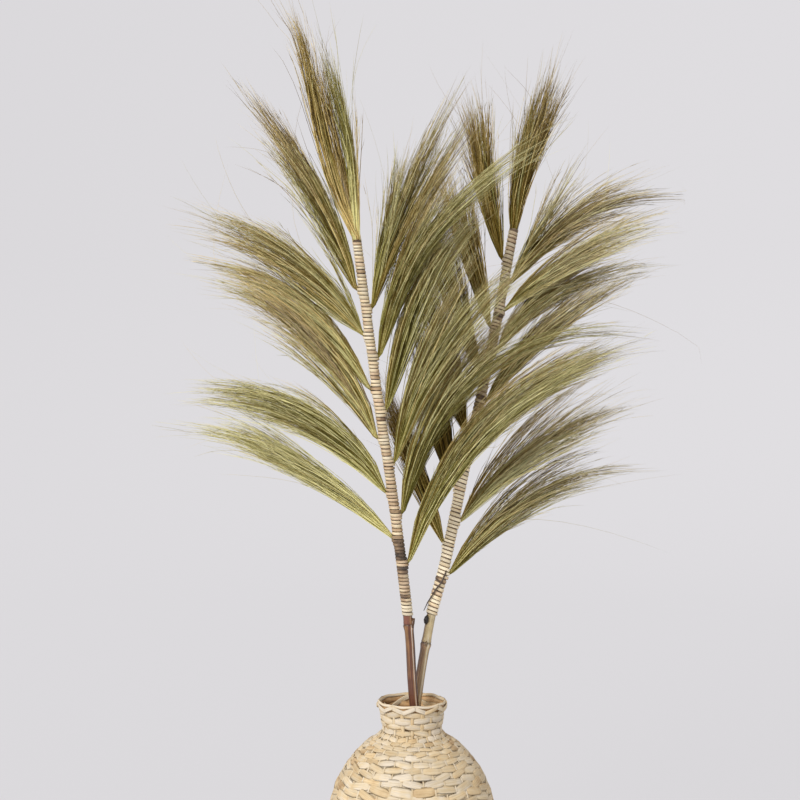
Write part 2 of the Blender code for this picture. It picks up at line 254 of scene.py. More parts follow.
class Pile:
    """Gathers closed strips and strands, and makes one mesh object of them.

    Each point has a look, which is its tone, its level and its paleness or redness, and a lane (see lane_of).
    """

    def __init__(self):
        self.points = []
        self.quads = []
        self.triangles = []
        self.look = []
        self.lane = []
        self.count = 0

    def add(self, points, quads, triangles, look, lane):
        self.quads.append(np.asarray(quads, np.int64).reshape(-1, 4) + self.count)
        self.triangles.append(np.asarray(triangles, np.int64).reshape(-1, 3) + self.count)
        self.points.append(np.asarray(points, float).reshape(-1, 3))
        self.look.append(np.asarray(look, float).reshape(-1, 3))
        self.lane.append(np.asarray(lane, float).reshape(-1, 3))
        self.count += len(self.points[-1])

    def build(self, name, material, slot, *replaced):
        points = np.concatenate(self.points)
        quads = np.concatenate(self.quads)
        triangles = np.concatenate(self.triangles)
        mesh = bpy.data.meshes.new(name)
        mesh.vertices.add(len(points))
        mesh.vertices.foreach_set("co", points.astype(np.float32).ravel())
        corners = np.concatenate([quads.ravel(), triangles.ravel()])
        mesh.loops.add(len(corners))
        mesh.loops.foreach_set("vertex_index", corners.astype(np.int32))
        first = 4 * len(quads)
        starts = np.concatenate([4 * np.arange(len(quads)), first + 3 * np.arange(len(triangles))])
        mesh.polygons.add(len(starts))
        mesh.polygons.foreach_set("loop_start", starts.astype(np.int32))
        mesh.update(calc_edges=True)
        mesh.polygons.foreach_set("use_smooth", np.ones(len(starts), bool))
        for key, values in (("look", self.look), ("lane", self.lane)):
            attribute = mesh.attributes.new(key, "FLOAT_VECTOR", "POINT")
            attribute.data.foreach_set("vector", np.concatenate(values).astype(np.float32).ravel())
        mesh.materials.append(material)
        piece = bpy.data.objects.new(name, mesh)
        SCENE.collection.objects.link(piece)
        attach(piece, BODY)
        if replaced:
            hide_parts(*replaced)


def unit(vectors):
    return vectors / np.maximum(np.linalg.norm(vectors, axis=-1, keepdims=True), 1e-12)


def radial_at(theta):
    """Directions out of the vase's axis, from the front round to its right."""
    return np.stack([np.sin(theta), -np.cos(theta), 0 * theta], -1)


def around_at(theta):
    return np.stack([np.cos(theta), np.sin(theta), 0 * theta], -1)


def add_strands(pile, lines, radii, look, spin):
    """Thin three-sided strands: lines and look are (n, k, 3), radii (n, k), and spin turns each strand."""
    n, k, _ = lines.shape
    tangents = unit(np.gradient(lines, axis=1))
    aside = np.where(np.abs(tangents[:, :1, 2:]) > 0.9, np.array([1.0, 0.0, 0.0]), UP)
    first = unit(np.cross(tangents, aside))
    second = np.cross(tangents, first)
    turns = (spin[:, None] + 2 * np.pi / 3 * np.arange(3))[:, None, :, None]
    ring = np.cos(turns) * first[:, :-1, None] + np.sin(turns) * second[:, :-1, None]
    rings = lines[:, :-1, None] + radii[:, :-1, None, None] * ring
    points = np.concatenate([rings.reshape(n, -1, 3), lines[:, -1:]], axis=1)
    size = points.shape[1]
    base = size * np.arange(n)[:, None, None, None]
    row = 3 * np.arange(k - 2)[:, None, None]
    corner = np.array([[j, (j + 1) % 3, (j + 1) % 3 + 3, j + 3] for j in range(3)])
    last = 3 * (k - 2)
    ends = np.array([[last + j, last + (j + 1) % 3, size - 1] for j in range(3)] + [[2, 1, 0]])
    look = np.concatenate([np.repeat(look[:, :-1], 3, axis=1), look[:, -1:]], axis=1)
    pile.add(points, base + row + corner, base[:, 0] + ends, look, np.zeros_like(points))


def ring_quads(rings, sides, closed=False):
    """The quads between each ring of points and the next, and if closed between the last and the first."""
    i = np.arange(rings if closed else rings - 1)[:, None]
    j = np.arange(sides)
    beside = (j + 1) % sides
    after = (i + 1) % rings * sides
    return np.stack([i * sides + j, i * sides + beside, after + beside, after + j], -1)


def end_fans(rings, sides):
    """The triangles that close the first and the last ring of points."""
    fan = np.array([[0, a, a + 1] for a in range(1, sides - 1)])
    return np.concatenate([fan[:, ::-1], fan + (rings - 1) * sides])


def lane_of(across, centres, mark):
    """For the textures: how far across and along a strip each point is, and the strip's own mark."""
    along = np.concatenate([[0], np.cumsum(np.linalg.norm(np.diff(centres, axis=0), axis=1))])
    return np.stack([across, np.broadcast_to(along[:, None], across.shape), np.full(across.shape, mark)], -1)


# Cross-sections of strips, in half widths across and thicknesses up
FLAT_SECTION = np.array([
    (-1, 0.0), (-0.62, 0.55), (0, 0.75), (0.62, 0.55), (1, 0.0), (0.6, -0.5), (-0.6, -0.5)])
SOFT_SECTION = np.array([(-1, -0.1), (-0.55, 0.6), (0.55, 0.6), (1, -0.1), (0, -0.5)])


def add_strip(pile, centres, sides, normals, widths, thickness, look, closed=False, mark=0.0,
              section=FLAT_SECTION):
    """A flat strip along the centres: sides point across it and normals out of its face."""
    n, m = len(centres), len(section)
    across = section[:, 0] * np.broadcast_to(widths, (n,))[:, None] / 2
    lift = section[:, 1, None] * thickness
    points = centres[:, None] + across[..., None] * sides[:, None] + lift * normals[:, None]
    look = np.repeat(np.broadcast_to(look, (n, 3))[:, None], m, axis=1)
    ends = [] if closed else end_fans(n, m)
    pile.add(points, ring_quads(n, m, closed), ends, look, lane_of(across, centres, mark))


def add_tube(pile, centres, firsts, seconds, radii, look, mark=0.0):
    """A closed tube: firsts and seconds span its rings, radii is (n, sides) and look (n, sides, 3)."""
    turn = 2 * np.pi * np.arange(radii.shape[1]) / radii.shape[1]
    ring = np.cos(turn)[:, None] * firsts[:, None] + np.sin(turn)[:, None] * seconds[:, None]
    points = centres[:, None] + radii[..., None] * ring
    around = radii * np.minimum(turn, 2 * np.pi - turn)
    pile.add(points, ring_quads(*radii.shape), end_fans(*radii.shape), look, lane_of(around, centres, mark))


def add_twig(pile, line, radii, tone, level):
    """A small round twig, stub or bud along a line of points."""
    line = np.array(line, float)
    tangents = unit(np.gradient(line, axis=0))
    firsts = unit(np.cross(tangents, np.array([0.0, 1.0, 0.02])))
    seconds = np.cross(tangents, firsts)
    radii = np.repeat(np.array(radii, float)[:, None], 10, axis=1)
    look = np.broadcast_to(np.array([tone, level, 0.0]), (*radii.shape, 3))
    add_tube(pile, line, firsts, seconds, radii, look)


# Materials


def add_node(tree, kind, inputs=(), **settings):
    node = tree.nodes.new(kind)
    for key, value in settings.items():
        setattr(node, key, value)
    for key, value in inputs:
        if isinstance(value, bpy.types.NodeSocket):
            tree.links.new(value, node.inputs[key])
        else:
            node.inputs[key].default_value = value
    return node


def ramp(tree, factor, stops):
    node = add_node(tree, "ShaderNodeValToRGB", [("Fac", factor)])
    elements = node.color_ramp.elements
    while len(elements) < len(stops):
        elements.new(0.5)
    for element, (place, colour) in zip(elements, stops):
        element.position = place
        element.color = (*colour, 1.0)
    return node.outputs["Color"]


def stretch(tree, value, low, high, to_low, to_high):
    """The value, moved from the range low to high into the range to_low to to_high."""
    ends = [("From Min", low), ("From Max", high), ("To Min", to_low), ("To Max", to_high)]
    return add_node(tree, "ShaderNodeMapRange", [("Value", value), *ends]).outputs["Result"]


def combined(tree, operation, a, b):
    return add_node(tree, "ShaderNodeMath", [(0, a), (1, b)], operation=operation).outputs[0]


def scaled(tree, colour, factor):
    inputs = [(0, colour), ("Scale", factor)]
    return add_node(tree, "ShaderNodeVectorMath", inputs, operation="SCALE").outputs[0]


def noise(tree, vector, scale, detail=2.0, rough=0.5):
    inputs = [("Vector", vector), ("Scale", scale), ("Detail", detail), ("Roughness", rough)]
    return add_node(tree, "ShaderNodeTexNoise", inputs).outputs["Fac"]


def mixed(tree, share, first, second):
    inputs = [("Factor", share), (6, first), (7, second)]
    return add_node(tree, "ShaderNodeMix", inputs, data_type="RGBA").outputs[2]


def fibres_along(tree, lane, length_rate, scale, detail, rough):
    """Noise that is drawn out along a strip."""
    drawn_out = add_node(tree, "ShaderNodeVectorMath", [(0, lane), (1, (1.0, length_rate, 1.0))],
                         operation="MULTIPLY").outputs[0]
    return noise(tree, drawn_out, scale, detail, rough)


def set_inputs(node, values):
    for key, value in values.items():
        node.inputs[key].default_value = value


def start_material(name, roughness, specular):
    material = bpy.data.materials.new(name)
    material.use_nodes = True
    tree = material.node_tree
    shader = tree.nodes["Principled BSDF"]
    set_inputs(shader, {"Roughness": roughness, "Specular IOR Level": specular})
    look = add_node(tree, "ShaderNodeAttribute", attribute_name="look").outputs["Vector"]
    parts = add_node(tree, "ShaderNodeSeparateXYZ", [(0, look)]).outputs
    lane = add_node(tree, "ShaderNodeAttribute", attribute_name="lane").outputs["Vector"]
    place = add_node(tree, "ShaderNodeTexCoord").outputs["Object"]
    return material, tree, shader, parts, lane, place


def bumped(tree, shader, height, distance):
    bump = add_node(tree, "ShaderNodeBump", [("Height", height), ("Distance", distance), ("Strength", 1.0)])
    tree.links.new(bump.outputs["Normal"], shader.inputs["Normal"])


def grass_material():
    """Grass: a tone from green to purple-brown, a level, how pale it is, and fine specks of spikelets."""
    material, tree, shader, parts, _, place = start_material("dried_reed_grass", 0.80, 0.10)
    tone, level, paleness = parts
    deep = ramp(tree, tone, (
        (0.0, (0.61, 0.53, 0.08)),
        (0.25, (0.44, 0.38, 0.06)),
        (0.5, (0.60, 0.385, 0.05)),
        (0.75, (0.49, 0.295, 0.045)),
        (1.0, (0.25, 0.15, 0.04)),
    ))
    pale = ramp(tree, tone, (
        (0.0, (0.58, 0.535, 0.25)),
        (0.25, (0.46, 0.43, 0.20)),
        (0.5, (0.60, 0.47, 0.19)),
        (0.75, (0.52, 0.39, 0.17)),
        (1.0, (0.35, 0.265, 0.15)),
    ))
    specks = noise(tree, place, 560.0, 1.0)
    patches = noise(tree, place, 70.0, 2.0)
    speck_level = stretch(tree, specks, 0.3, 0.7, 0.74, 1.26)
    patch_level = stretch(tree, patches, 0.3, 0.7, 0.88, 1.12)
    total = combined(tree, "MULTIPLY", combined(tree, "MULTIPLY", level, speck_level), patch_level)
    total = combined(tree, "MINIMUM", total, BRIGHTEST)
    colour = mixed(tree, stretch(tree, total, 0.35, 1.35, 0.0, 1.0), deep, pale)
    colour = mixed(tree, paleness, colour, PALEST)
    tree.links.new(scaled(tree, colour, total), shader.inputs["Base Color"])
    return material


def straw_material(name, stops, roughness=0.55, streak=900.0, depth=0.00022):
    """Leaf strip: a tone for each strip, with fine lengthwise fibres and blotches."""
    material, tree, shader, parts, lane, place = start_material(name, roughness, 0.3)
    tone, level, _ = parts
    fibres = fibres_along(tree, lane, 0.035, streak, 3.0, 0.6)
    blotches = noise(tree, place, 85.0, 3.0)
    shift = stretch(tree, blotches, 0.3, 0.7, -0.17, 0.17)
    streaks = fibres_along(tree, lane, 0.05, 0.45 * streak, 2.0, 0.5)
    shifted = combined(tree, "ADD", shift, stretch(tree, streaks, 0.3, 0.7, -0.15, 0.15))
    colour = ramp(tree, combined(tree, "ADD", tone, shifted), stops)
    shade = combined(tree, "MULTIPLY", level, stretch(tree, fibres, 0.28, 0.72, 0.80, 1.14))
    tree.links.new(scaled(tree, colour, shade), shader.inputs["Base Color"])
    bumped(tree, shader, fibres, depth)
    return material


def cane_material(name, stops, roughness):
    """Reed cane: dark and light streaks along it under a thin shine; the tones it is given hold a painted
    highlight and painted shade at the edges.
    """
    material, tree, shader, parts, lane, place = start_material(name, roughness, 0.6)
    tone, level, redness = parts
    streaks = fibres_along(tree, lane, 0.03, 800.0, 3.0, 0.6)
    blotches = noise(tree, place, 90.0, 3.0)
    colour = ramp(tree, combined(tree, "ADD", stretch(tree, streaks, 0.3, 0.7, -0.16, 0.16), tone), stops)
    blotch_level = stretch(tree, blotches, 0.3, 0.75, 0.80, 1.15)
    reddened = mixed(tree, redness, colour, REDDEST)
    shade = combined(tree, "MULTIPLY", level, blotch_level)
    tree.links.new(scaled(tree, reddened, shade), shader.inputs["Base Color"])
    bumped(tree, shader, streaks, 0.00012)
    return material


# Canes


class Cane:
    """A cane's middle line, which is a function of height."""

    def __init__(self, line, towards_back):
        self.line = line
        self.towards_back = towards_back
        self.foot = line[0][1]
        self.tip = line[-1][1]

    def at(self, height):
        height = min(max(height, self.foot), self.tip)
        heights = [z for _, z in self.line]
        span = max(i for i in range(len(heights) - 1) if heights[i] <= height)
        p0, p1, p2, p3 = (self.line[min(max(span + k, 0), len(self.line) - 1)] for k in (-1, 0, 1, 2))
        width = p2[1] - p1[1]
        t = (height - p1[1]) / width
        slope_1 = (p2[0] - p0[0]) / (p2[1] - p0[1]) * width
        slope_2 = (p3[0] - p1[0]) / (p3[1] - p1[1]) * width
        x = (
            (2 * t**3 - 3 * t**2 + 1) * p1[0]
            + (t**3 - 2 * t**2 + t) * slope_1
            + (3 * t**2 - 2 * t**3) * p2[0]
            + (t**3 - t**2) * slope_2
        )
        y = self.towards_back * (CROSSING_DEPTH + CANE_LEAN * (height - CROSSING_HEIGHT))
        return Vector((x, y, height))

    def direction(self, height):
        return (self.at(height + CHORD_HALF) - self.at(height - CHORD_HALF)).normalized()

    def radius(self, height):
        t = (height - self.foot) / (self.tip - self.foot)
        return CANE_FOOT_RADIUS + (CANE_TIP_RADIUS - CANE_FOOT_RADIUS) * t

    def binding_radius(self, height):
        return (self.radius(height) + GAP) * BINDING_CLEARANCE


CANES = {"left": Cane(LEFT_CANE_LINE, -1), "right": Cane(RIGHT_CANE_LINE, 1)}


def cane_frame(cane, height):
    """The cane's middle, and two directions across it, the first to the right and the second to the back."""
    along = cane.direction(height)
    right = Vector((along.z, 0.0, -along.x)).normalized()
    back = along.cross(right).normalized()
    if back.y < 0:
        back = -back
    return np.array(cane.at(height)), np.array(right), np.array(back)


def cane_frames(cane, heights):
    """The middles and the two directions across for all these heights."""
    return [np.array(rows) for rows in zip(*(cane_frame(cane, z) for z in heights))]


def bell(distance, reach):
    return math.exp(-((distance / reach) ** 2))


def make_cane(side, nodes, streaks, bound_from, material, mark, extras):
    """A round reed with a swollen ring and a groove at each node, and pale and dark streaks along it; its
    palest streak is a painted highlight, and its dark edges, the darker groove above each node and the darker
    part under the binding are painted shade.
    """
    cane = CANES[side]
    near = 0.009
    steps = (-near, -0.006, -0.004, -0.0025, -0.0012, 0, 0.0012, 0.002, 0.0032, 0.005, near)
    plain = [z for z in np.arange(cane.foot, cane.tip, 0.0065) if all(abs(z - node) > near for node in nodes)]
    heights = np.array(sorted([*plain, *(node + step for node in nodes for step in steps), cane.tip]))
    turn = 2 * np.pi * np.arange(CANE_SIDES) / CANE_SIDES
    degrees = (np.degrees(turn) + 180) % 360 - 180
    radii = np.zeros((len(heights), CANE_SIDES))
    look = np.zeros((len(heights), CANE_SIDES, 3))
    for i, z in enumerate(heights):
        radius = cane.radius(z)
        # Where the binding covers the cane it is painted darker: painted shade.
        level = 1.0 if z < bound_from else 0.45
        for node in nodes:
            d = z - node
            radius *= 1 + 0.21 * bell(d, 0.0042) - 0.12 * bell(d - 0.0016, 0.0008)
            # The level dips in the groove just above each node, which is painted shade, and rises in a band
            # just below the node.
            level *= 1 - 0.62 * bell(d - 0.0016, 0.0011) + 0.30 * bell(d + 0.0022, 0.0020)
        # The streak table holds a painted highlight and painted shade at the cane's edges.
        places, tones, reds = next(rest for top, *rest in streaks if z < top)
        radii[i] = radius * (1 + 0.02 * np.sin(3 * turn + 90 * z))
        tone, redness = (np.interp(degrees, places, row) for row in (tones, reds))
        look[i] = np.stack([tone, np.full(CANE_SIDES, level), redness], -1)
    pile = Pile()
    add_tube(pile, *cane_frames(cane, heights), radii, look, mark)
    for extra in extras:
        add_twig(pile, *extra)
    pile.build(side + "_cane_reed", material, side + "_cane", side + "_cane")


# Bindings


def make_binding(side, foot, pitch, width, over, gap_shade_tone, sections, material, seed):
    """One strip wound round the cane in turns, which swell over the feet of the bundles."""
    rng = np.random.default_rng(seed)
    cane = CANES[side]
    tied = [bundle for bundle in BUNDLES if bundle.cane_name == side and not bundle.at_tip]
    turns = int((cane.tip - foot - width) / pitch)
    rates = rng.uniform(0.84, 1.18, turns)
    pitches = rates * (cane.tip - foot - width) / rates.sum()
    starts = foot + width / 2 + np.concatenate([[0], np.cumsum(pitches)])
    turn_widths = width * np.append(rates, 1.0) * rng.uniform(0.88, 1.06, turns + 1)
    tones = rng.uniform(-0.14, 0.14, turns + 1) + np.where(rng.uniform(0, 1, turns + 1) < 0.08, 0.3, 0.0)
    levels = rng.uniform(0.82, 1.12, turns + 1)
    loose = rng.uniform(0, 0.0002, turns + 1)
    knots = np.arange(0, (turns + 1) * TURN_STEPS + 7, 7)
    wander = rng.normal(0, 0.13, len(knots))
    centres, sides, normals, widths, look = [], [], [], [], []
    for step in range(turns * TURN_STEPS + 1):
        t = step / TURN_STEPS
        z, looseness, strip_width = (
            float(np.interp(t, np.arange(turns + 1), values)) for values in (starts, loose, turn_widths))
        middle, right, back = cane_frame(cane, z)
        turn = 2 * math.pi * t
        outwards = math.cos(turn) * right - math.sin(turn) * back
        bulge = 0.0
        for bundle in tied:
            facing = max(0.0, bundle.side * math.cos(turn))
            bulge += 0.0020 * bell(z - bundle.height + 0.006, 0.006) * facing**1.5
        centres.append(middle + (cane.radius(z) + over + bulge + looseness) * outwards)
        sides.append(np.array(cane.direction(z)))
        normals.append(outwards)
        widths.append(strip_width)
        tone, level = next((rest for low, high, *rest in sections if low <= z < high), (0.0, 0.0))
        k = int(t)
        look.append((tone + tones[k] + float(np.interp(step, knots, wander)), level * levels[k], 0.0))
    pile = Pile()
    centres, sides, normals, widths, look = map(np.array, (centres, sides, normals, widths, look))
    add_strip(pile, centres, sides, normals, widths, STRIP_THICKNESS, look, mark=rng.uniform(0, 1))
    # A dark tube under the strip shows in the gaps between its turns: painted shade.
    heights = np.linspace(foot + 0.001, cane.tip - 0.001, 70)
    radii = np.array([[cane.radius(z) + over - 0.0004] * TURN_STEPS for z in heights])
    gap_shade_look = np.broadcast_to(np.array([gap_shade_tone, 0.8, 0.0]), (*radii.shape, 3))
    add_tube(pile, *cane_frames(cane, heights), radii, gap_shade_look)
    pile.build(side + "_binding_strip", material, "split_cane", side + "_binding")


# Grass


def tuft_line(tuft, samples=60):
    """The middle of a tuft in its own plane: points, and directions across it, at even steps."""
    angles, length = tuft[:2]
    s = (np.arange(samples) + 0.5) / samples
    angle = np.radians(np.interp(s, np.linspace(0, 1, len(angles)), angles))
    steps = np.stack([np.sin(angle), 0 * angle, np.cos(angle)], -1) * length / samples
    points = np.concatenate([np.zeros((1, 3)), np.cumsum(steps, axis=0)])
    angle = np.concatenate([[angle[0]], (angle[1:] + angle[:-1]) / 2, [angle[-1]]])
    across = np.stack([np.cos(angle), 0 * angle, -np.sin(angle)], -1)
    return points, across


def at_share(rows, s):
    """Rows of samples, taken at the shares s (any shape, values from 0 to 1)."""
    place = np.clip(s, 0, 1) * (len(rows) - 1)
    low = np.minimum(place.astype(int), len(rows) - 2)
    part = (place - low)[..., None]
    return rows[low] * (1 - part) + rows[low + 1] * part


def spread(s, half, root_half, ragged):
    """Half the width of a tuft at s of its length: the more ragged it is, the wider it ends."""
    rise = np.sin(np.pi / 2 * np.clip(s / FULLEST, 0, 1)) ** 0.72
    fall = np.clip((s - FULLEST) / (1 - FULLEST), 0, 1)
    return (root_half + (half - root_half) * rise) * (1 - (0.96 - 0.9 * ragged) * fall**1.4)


def level_along(bundle, s):
    """How bright the stems are at s of their length: bright at the left tip, and dark between the canes,
    which is painted shade.
    """
    if bundle.at_tip and bundle.cane_name == "left":
        return np.interp(s, (0, 0.15, 0.35, 0.6, 1), (2.4, 2.0, 1.2, 0.88, 1.05))
    if bundle.cane_name == "right" and bundle.side < 0 and bundle.height < 0.70:
        return np.interp(s, (0, 0.25, 0.5, 1), (1.0, 0.62, 0.58, 1.0))
    if bundle.cane_name == "left" and bundle.side > 0:
        return np.interp(s, (0, 0.3, 0.6, 1), (0.74, 0.80, 0.98, 1.24))
    return np.interp(s, (0, 0.2, 0.55, 1), (0.82, 0.92, 1.0, 1.12))


def settle(lines):
    """Bend the far ends of lines back inside the limits, smoothly."""
    for axis, (low, high) in enumerate(LIMITS):
        for sign, limit in ((1, high - LIMIT_MARGIN), (-1, low + LIMIT_MARGIN)):
            over = sign * (lines[..., axis] - limit)
            bent = limit + sign * LIMIT_MARGIN * np.tanh(over / LIMIT_MARGIN)
            lines[..., axis] = np.where(over > 0, bent, lines[..., axis])
    return lines


class Locks:
    """The locks that a bundle's stems gather in: each is in one tuft, and leads its stems off their line."""

    def __init__(self, bundle, rng):
        shares = np.array([tuft[3] for tuft in bundle.tufts])
        wanted = shares / shares.sum() * (bundle.stems // STEMS_PER_LOCK)
        self.tuft = np.repeat(np.arange(len(shares)), np.maximum(1, np.round(wanted).astype(int)))
        n = len(self.tuft)
        self.across = rng.uniform(-0.9, 0.9, n)
        self.depth = rng.uniform(-0.9, 0.9, n) * np.sqrt(1 - 0.8 * self.across**2)
        self.length = 1.0 - 0.16 * np.abs(self.across) ** 1.5 - bundle.ragged * rng.uniform(0, 1, n) ** 1.6
        self.tone = rng.normal(0, 0.09, n)
        self.level = rng.uniform(0.78, 1.16, n)
        self.bend = rng.normal(0, 1, (n, 2)) * (0.0034, 0.0050)
        self.twist = rng.normal(0, 0.5, n)
        self.owner = np.sort(rng.integers(0, n, bundle.stems))


def bundle_stems(bundle, rng, place, lean_back):
    """The lines, radii and look of a bundle's stems."""
    ragged, side = bundle.ragged, bundle.side
    root_half = TIP_ROOT_HALF if bundle.at_tip else ROOT_HALF
    turning = 0.20 if bundle.cane_name == "right" else 0.08
    locks = Locks(bundle, rng)
    base = (np.arange(STEM_POINTS) / (STEM_POINTS - 1)) ** 0.9
    lines = np.zeros((bundle.stems, STEM_POINTS, 3))
    radii = np.zeros((bundle.stems, STEM_POINTS))
    look = np.zeros((bundle.stems, STEM_POINTS, 3))
    for j, (_, _, width, _, tuft_turn, tuft_tone) in enumerate(bundle.tufts):
        mine = np.nonzero(locks.tuft[locks.owner] == j)[0]
        n = len(mine)
        if n == 0:
            continue
        lock = locks.owner[mine]
        points, across = tuft_line(bundle.tufts[j])
        s = (locks.length[lock] * rng.uniform(0.84, 1.04, n))[:, None] * base
        half = spread(s, 0.62 * width + 0.0042, root_half, ragged)
        gather = (0.54 - 0.40 * ragged) * (1 - 0.50 * base)
        a = locks.across[lock][:, None] + rng.uniform(-1, 1, n)[:, None] * gather
        b = locks.depth[lock][:, None] + rng.uniform(-1, 1, n)[:, None] * gather
        edge = np.clip(np.hypot(a, b), 0, 1)
        twist = locks.twist[lock][:, None] * base + rng.normal(0, 0.45, n)[:, None] * base
        a, b = a * np.cos(twist) - b * np.sin(twist), a * np.sin(twist) + b * np.cos(twist)
        loose = np.where(rng.uniform(0, 1, (n, 1)) < 0.20, 0.011, 0.0040)
        stray = locks.bend[lock] + rng.normal(0, 1, (n, 2)) * loose
        wave = 0.0017 * np.sin(rng.uniform(0, ANY_ANGLE, n)[:, None] + base * rng.uniform(4, 10, n)[:, None])
        a_move = half * a + stray[:, :1] * base**2.0 + wave * base
        b_move = half * b * DEPTH_SHARE + stray[:, 1:] * base**2.0
        local = at_share(points, s) + a_move[..., None] * at_share(across, s)
        local = local + b_move[..., None] * np.array([0.0, 1.0, 0.0])
        swing = math.radians(bundle.swing + tuft_turn)
        turn = np.array(lean_back @ Matrix.Rotation(swing if side > 0 else math.pi - swing, 3, "Z"))
        lines[mine] = local @ turn.T + np.array(place)
        thick = rng.uniform(0.75, 1.2, n)[:, None]
        taper = np.interp(base, (0, 0.15, 0.5, 0.85, 1), (0.00030, 0.00038, 0.00038, 0.00024, 0.00010))
        radii[mine] = thick * taper
        kind = rng.uniform(0, 1, n)
        # The dark stems' low levels are partly their own colour and partly painted shade.
        dark = rng.uniform(0.14, 0.44, n)
        plain = rng.uniform(0.65, 1.1, n)
        bright = rng.uniform(1.30, 1.90, n)
        own_level = np.where(kind < DARK_STEMS, dark, np.where(kind < PLAIN_STEMS, plain, bright))[:, None]
        own_level = own_level + np.maximum(0.85 - own_level, 0) * 0.6 * base**2
        own_level = own_level + (0.9 - own_level) * np.interp(base, (0, 0.4), (0.32, 0))
        radii[mine] *= np.where(kind < PLAIN_STEMS, 1.0, 1.12)[:, None]
        tone = tuft_tone + locks.tone[lock][:, None] + rng.normal(0, 0.11, n)[:, None]
        tone = tone + turning * (base - 0.5) + np.where(kind < DARK_STEMS, 0.15, -0.05)[:, None]
        # Stems deep inside a tuft are painted darker than those at its edge: painted shade.
        level = bundle.brightness * locks.level[lock][:, None] * own_level * (0.74 + 0.30 * edge)
        level = level * level_along(bundle, base)
        pale = np.broadcast_to(bundle.paleness * base, tone.shape)
        look[mine] = np.stack([np.clip(tone, 0, 1), level, pale], -1)
    return lines, radii, look


def hair_lines(roots, direction, bend, reach, curl, sag, count):
    """Curved lines that leave their roots in a direction, with a bend to the side that grows or fades."""
    t = np.linspace(0, 1, count)[:, None]
    bend = bend - (bend * direction).sum(1, keepdims=True) * direction
    fall = np.array([0.0, 0.0, -1.0]) * sag[:, None, None]
    return settle(roots[:, None] + reach[:, None, None] * (
        t * (direction + bend)[:, None] + t**2 * curl[:, None, None] * bend[:, None] + t**2 * fall
    ))


def on_stems(lines, tangents, parent, start):
    """The points before, the places and the directions at the shares start of the parent stems."""
    place_on = start * (STEM_POINTS - 1)
    low = np.minimum(place_on.astype(int), STEM_POINTS - 2)
    part = (place_on - low)[:, None]
    roots = lines[parent, low] * (1 - part) + lines[parent, low + 1] * part
    return low, roots, unit(tangents[parent, low] * (1 - part) + tangents[parent, low + 1] * part)


def even_look(tone, level, pale, count):
    """The same look at all the points of each strand."""
    return np.repeat(np.stack([np.clip(tone, 0, 1), level, pale], -1)[:, None], count, axis=1)


def add_hairs(pile, bundle, lines, tangents, look, rng):
    """Fine hairs on the stems, of which the first few are long strays."""
    hairs = int(bundle.stems * HAIRS_PER_STEM)
    parent = rng.integers(0, bundle.stems, hairs)
    start = rng.beta(2.2, 1.4, hairs) * 0.72 + 0.27
    start[:STRAY_HAIRS] = rng.uniform(0.4, 0.95, STRAY_HAIRS)
    low, roots, direction = on_stems(lines, tangents, parent, start)
    bend = rng.normal(0, 1, (hairs, 3)) * np.interp(start, (0.3, 0.8, 1.0), (0.15, 0.10, 0.06))[:, None]
    reach = rng.uniform(0.4, 1.0, hairs) * np.interp(start, (0.3, 0.8, 1.0), (0.040, 0.056, 0.066))
    curl = rng.uniform(-0.8, 0.5, hairs)
    sag = rng.uniform(0, 0.10, hairs)
    own_level = 0.55 * bundle.brightness * rng.uniform(0.7, 1.5, hairs) * level_along(bundle, start)
    level = 0.45 * look[parent, low, 1] + own_level
    tone = look[parent, low, 0] + rng.normal(0.06, 0.10, hairs)
    thick = rng.uniform(0.7, 1.3, hairs)
    strays = slice(0, STRAY_HAIRS)
    bend[strays] = rng.normal(0, 0.35, (STRAY_HAIRS, 3))
    reach[strays] = rng.uniform(0.05, 0.13, STRAY_HAIRS)
    curl[strays] = rng.uniform(-2.2, 1.6, STRAY_HAIRS)
    for g, count in ((strays, STRAY_POINTS), (slice(STRAY_HAIRS, hairs), HAIR_POINTS)):
        made = hair_lines(roots[g], direction[g], bend[g], reach[g], curl[g], sag[g], count)
        taper = thick[g][:, None] * np.linspace(0.00017, 0.00006, count)
        looks = even_look(tone[g], level[g], bundle.paleness * start[g], count)
        add_strands(pile, made, taper, looks, rng.uniform(0, ANY_SPIN, len(made)))


def add_spikelets(pile, bundle, lines, tangents, look, rng):
    """Short thick hairs close to the stems."""
    spikelets = int(bundle.stems * SPIKELETS_PER_STEM)
    parent = rng.integers(0, bundle.stems, spikelets)
    start = rng.uniform(0.14, 0.97, spikelets)
    low, roots, direction = on_stems(lines, tangents, parent, start)
    bend = rng.normal(0, 0.17, (spikelets, 3))
    reach = rng.uniform(0.006, 0.018, spikelets)
    curl = rng.uniform(-0.6, 0.6, spikelets)
    made = hair_lines(roots, direction, bend, reach, curl, 0 * reach, SPIKELET_POINTS)
    taper = rng.uniform(0.7, 1.2, spikelets)[:, None] * np.array([0.00026, 0.00024, 0.00006])
    tone = look[parent, low, 0] + rng.normal(0.03, 0.14, spikelets)
    level = look[parent, low, 1] * rng.uniform(0.6, 1.4, spikelets)
    looks = even_look(tone, level, bundle.paleness * start, SPIKELET_POINTS)
    add_strands(pile, made, taper, looks, rng.uniform(0, ANY_SPIN, spikelets))


